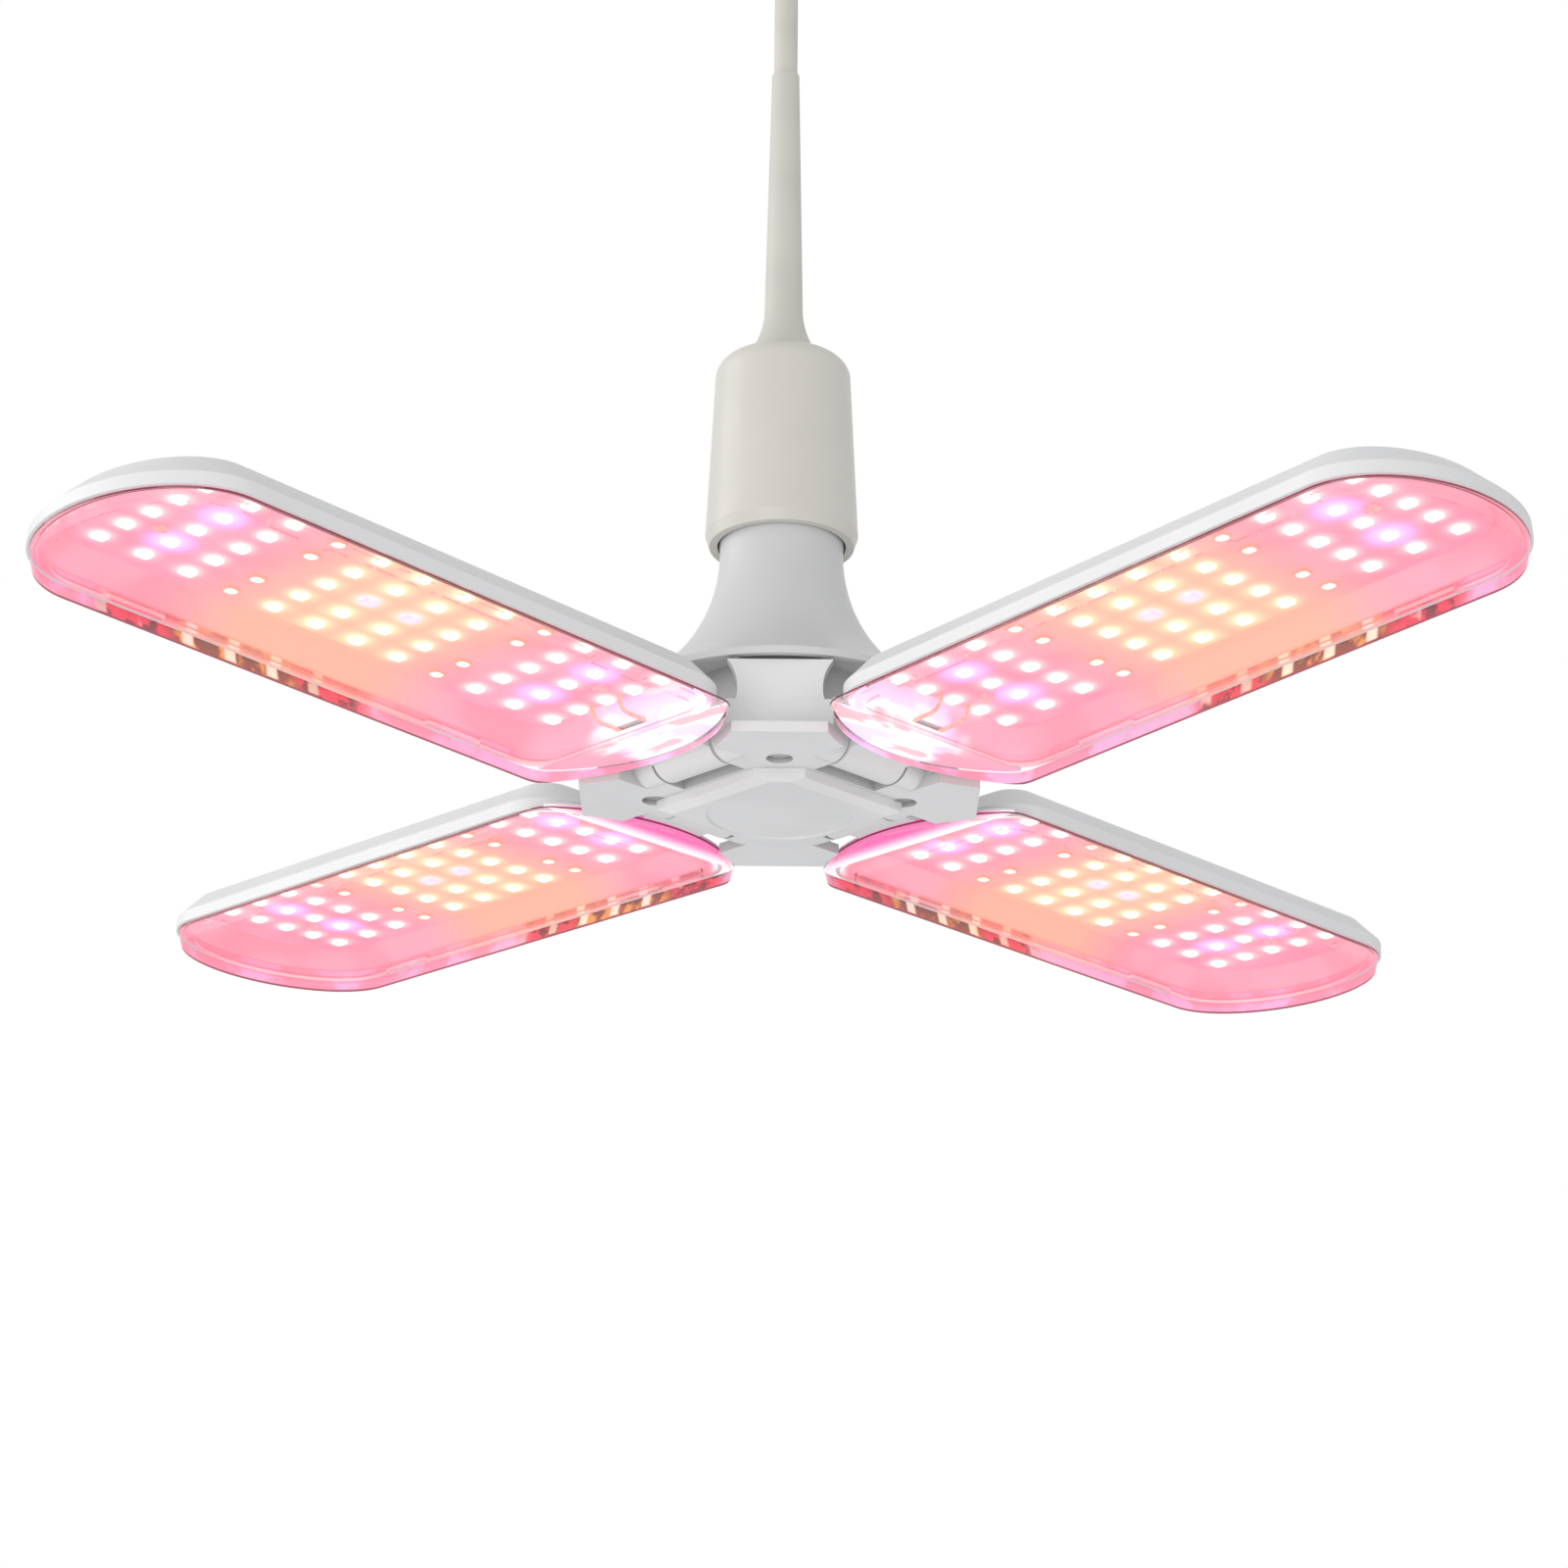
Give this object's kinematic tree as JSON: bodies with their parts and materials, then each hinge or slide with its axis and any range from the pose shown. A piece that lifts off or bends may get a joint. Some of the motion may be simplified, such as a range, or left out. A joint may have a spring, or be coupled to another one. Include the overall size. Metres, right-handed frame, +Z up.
{
  "type": "foldable pendant grow light",
  "caption": "Pendant grow light: cord and lampholder from a ceiling cup, bell-shaped neck, and hinged LED leaves with clear lenses that fold down from a hub.",
  "frame": {"origin": "centre of the ceiling face, between the bracket's two fixing holes", "axes": "+Z up into the ceiling; the leaves stand at 45 degrees to X and Y, +Y away from the picture's camera"},
  "size_m": [0.324, 0.3239, 0.2784],
  "materials": {
    "white_plastic": "satin moulded plastic, grey-white",
    "ivory_plastic": "satin moulded plastic, warm off-white",
    "soft_white": "soft matt plastic, warm off-white",
    "clear_plastic": "clear, polished",
    "board_white": "white coated metal-core board",
    "led_white": "lit, warm white",
    "led_blue": "lit, blue",
    "led_red": "dim, deep red",
    "lead_red": "insulated lead",
    "steel": "plain steel",
    "nickel": "nickel plate",
    "brass": "bare brass",
    "black_insulator": "dark insulator",
    "white_insulator": "pale insulator",
    "circuit_board": "green laminate",
    "component_dark": "dark moulded parts"
  },
  "bodies": {
    "lamp": {"rose_cup": "ivory_plastic", "rose_bracket": "steel", "rose_screws": "steel", "rose_terminal": "white_insulator", "cord_grip": "ivory_plastic", "pendant_cord": "soft_white", "strain_boot": "soft_white", "holder_shell": "ivory_plastic", "holder_insert": "white_insulator", "holder_sleeve": "brass", "holder_contacts": "brass", "cap_shell": "nickel", "cap_insulator": "black_insulator", "cap_contact": "brass", "neck_shell": "white_plastic", "driver_board": "circuit_board", "driver_parts": "component_dark", "hub_body": "white_plastic", "hub_screws": "steel", "bottom_cover": "white_plastic", "hinge_pins": "steel", "hinge_washers": "steel"},
    "leaf_a": {"leaf_a_casing": "white_plastic", "leaf_a_lens": "clear_plastic", "leaf_a_led_board": "board_white", "leaf_a_white_leds": "led_white", "leaf_a_blue_leds": "led_blue", "leaf_a_red_leds": "led_red", "leaf_a_board_screws": "steel", "leaf_a_wires": "lead_red"},
    "leaf_b": {"leaf_b_casing": "white_plastic", "leaf_b_lens": "clear_plastic", "leaf_b_led_board": "board_white", "leaf_b_white_leds": "led_white", "leaf_b_blue_leds": "led_blue", "leaf_b_red_leds": "led_red", "leaf_b_board_screws": "steel", "leaf_b_wires": "lead_red"},
    "leaf_c": {"leaf_c_casing": "white_plastic", "leaf_c_lens": "clear_plastic", "leaf_c_led_board": "board_white", "leaf_c_white_leds": "led_white", "leaf_c_blue_leds": "led_blue", "leaf_c_red_leds": "led_red", "leaf_c_board_screws": "steel", "leaf_c_wires": "lead_red"},
    "leaf_d": {"leaf_d_casing": "white_plastic", "leaf_d_lens": "clear_plastic", "leaf_d_led_board": "board_white", "leaf_d_white_leds": "led_white", "leaf_d_blue_leds": "led_blue", "leaf_d_red_leds": "led_red", "leaf_d_board_screws": "steel", "leaf_d_wires": "lead_red"}
  },
  "joints": [
    {"name": "leaf_a_hinge", "type": "hinge", "parent": "lamp", "child": "leaf_a", "pos_m": [-0.0198, -0.0198, -0.2691], "axis": [0.7071, -0.7071, 0], "range_deg": [-9.4, 62.6]},
    {"name": "leaf_b_hinge", "type": "hinge", "parent": "lamp", "child": "leaf_b", "pos_m": [0.0198, -0.0198, -0.2691], "axis": [0.7071, 0.7071, 0], "range_deg": [-7.8, 64.2]},
    {"name": "leaf_c_hinge", "type": "hinge", "parent": "lamp", "child": "leaf_c", "pos_m": [-0.0198, 0.0198, -0.2691], "axis": [-0.7071, -0.7071, 0], "range_deg": [-11.35, 60.65]},
    {"name": "leaf_d_hinge", "type": "hinge", "parent": "lamp", "child": "leaf_d", "pos_m": [0.0198, 0.0198, -0.2691], "axis": [-0.7071, 0.7071, 0], "range_deg": [-12.75, 59.25]}
  ]
}
